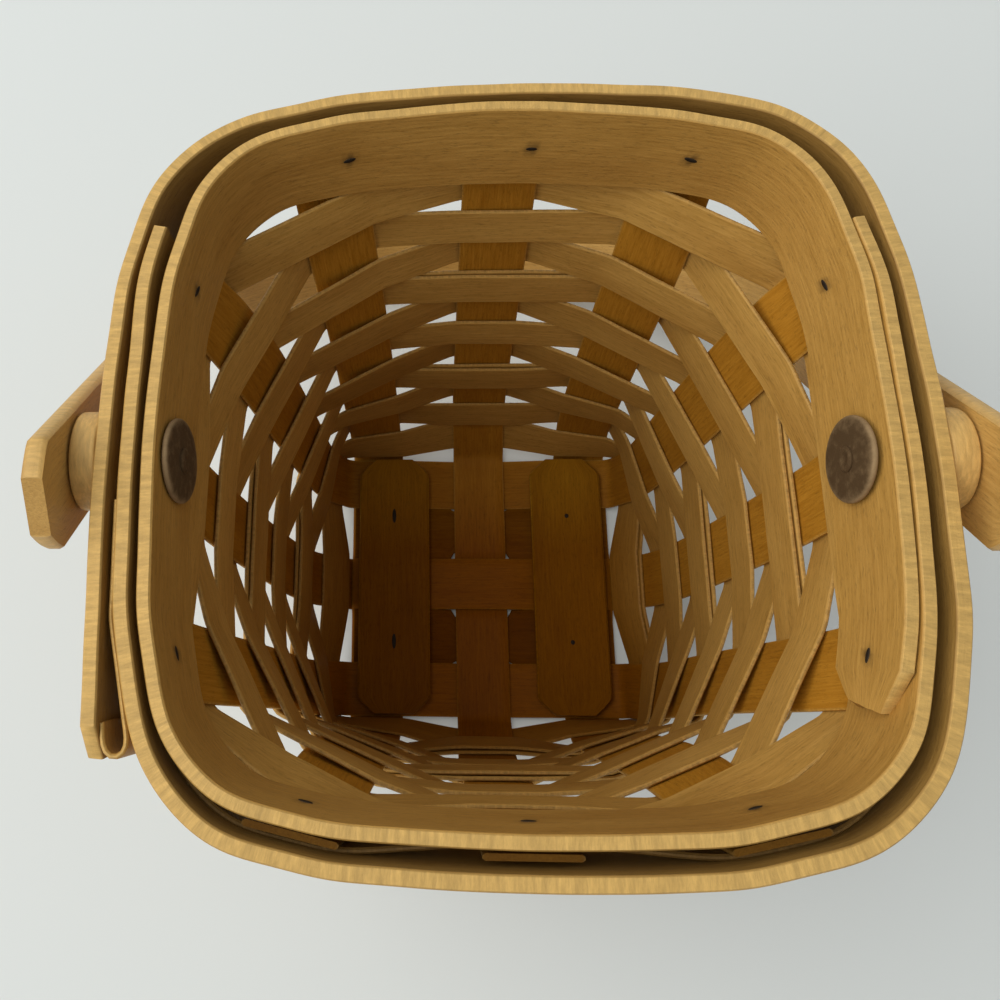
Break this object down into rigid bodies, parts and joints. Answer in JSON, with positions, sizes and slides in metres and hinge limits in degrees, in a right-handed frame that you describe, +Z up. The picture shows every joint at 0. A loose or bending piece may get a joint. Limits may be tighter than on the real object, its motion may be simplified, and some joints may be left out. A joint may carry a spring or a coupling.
{
  "type": "splint basket with swing handle",
  "caption": "Small square woven wood splint basket, open at the top, with a flat bent-wood handle that swings on two rivets.",
  "frame": {"origin": "middle of the underside of the lengthwise centre floor strip, which is the middle of the basket's floor, on the surface that the basket stands on", "axes": "+Z up; +Y towards the back, where the folded handle lies; +X towards the right rivet"},
  "size_m": [0.1346, 0.152, 0.1266],
  "materials": {
    "stake_wood": "oiled golden brown, grain along the strip",
    "weaver_wood": "oiled olive brown, grain along the strip",
    "floor_wood": "darkened brown, dull",
    "slat_wood": "worn golden brown",
    "band_wood": "golden brown with pale rough sawn edges",
    "handle_wood": "golden, smooth from handling",
    "tack_metal": "tarnished dark steel",
    "rivet_metal": "aged dark bronze with a pale worn edge"
  },
  "bodies": {
    "basket": {"stake_y_left": "stake_wood", "stake_y_centre": "stake_wood", "stake_y_right": "stake_wood", "stake_x_front": "stake_wood", "stake_x_middle": "stake_wood", "stake_x_back": "stake_wood", "filler_back": "floor_wood", "filler_front": "floor_wood", "slat_left": "slat_wood", "slat_right": "slat_wood", "weaver_01": "weaver_wood", "weaver_02": "weaver_wood", "weaver_03": "weaver_wood", "weaver_04": "weaver_wood", "weaver_05": "weaver_wood", "weaver_06": "weaver_wood", "weaver_07": "weaver_wood", "weaver_08": "weaver_wood", "weaver_09": "weaver_wood", "weaver_10": "weaver_wood", "weaver_11": "weaver_wood", "weaver_12": "weaver_wood", "inner_rim_band": "band_wood", "outer_rim_band": "band_wood", "rim_thin_strip": "band_wood", "rim_tack_01": "tack_metal", "rim_tack_02": "tack_metal", "rim_tack_03": "tack_metal", "rim_tack_04": "tack_metal", "rim_tack_05": "tack_metal", "rim_tack_06": "tack_metal", "rim_tack_07": "tack_metal", "rim_tack_08": "tack_metal", "rim_tack_09": "tack_metal", "rim_tack_10": "tack_metal", "floor_tack_1": "tack_metal", "floor_tack_2": "tack_metal", "floor_tack_3": "tack_metal", "floor_tack_4": "tack_metal", "spacer_left": "handle_wood", "spacer_right": "handle_wood", "washer_left": "rivet_metal", "washer_right": "rivet_metal", "rivet_left": "rivet_metal", "rivet_right": "rivet_metal"},
    "handle": {"handle_hoop": "handle_wood"}
  },
  "joints": [
    {"name": "handle_swing", "type": "hinge", "parent": "basket", "child": "handle", "pos_m": [0, -0.0013, 0.1117], "axis": [1, 0, 0], "range_deg": [0, 280]}
  ]
}
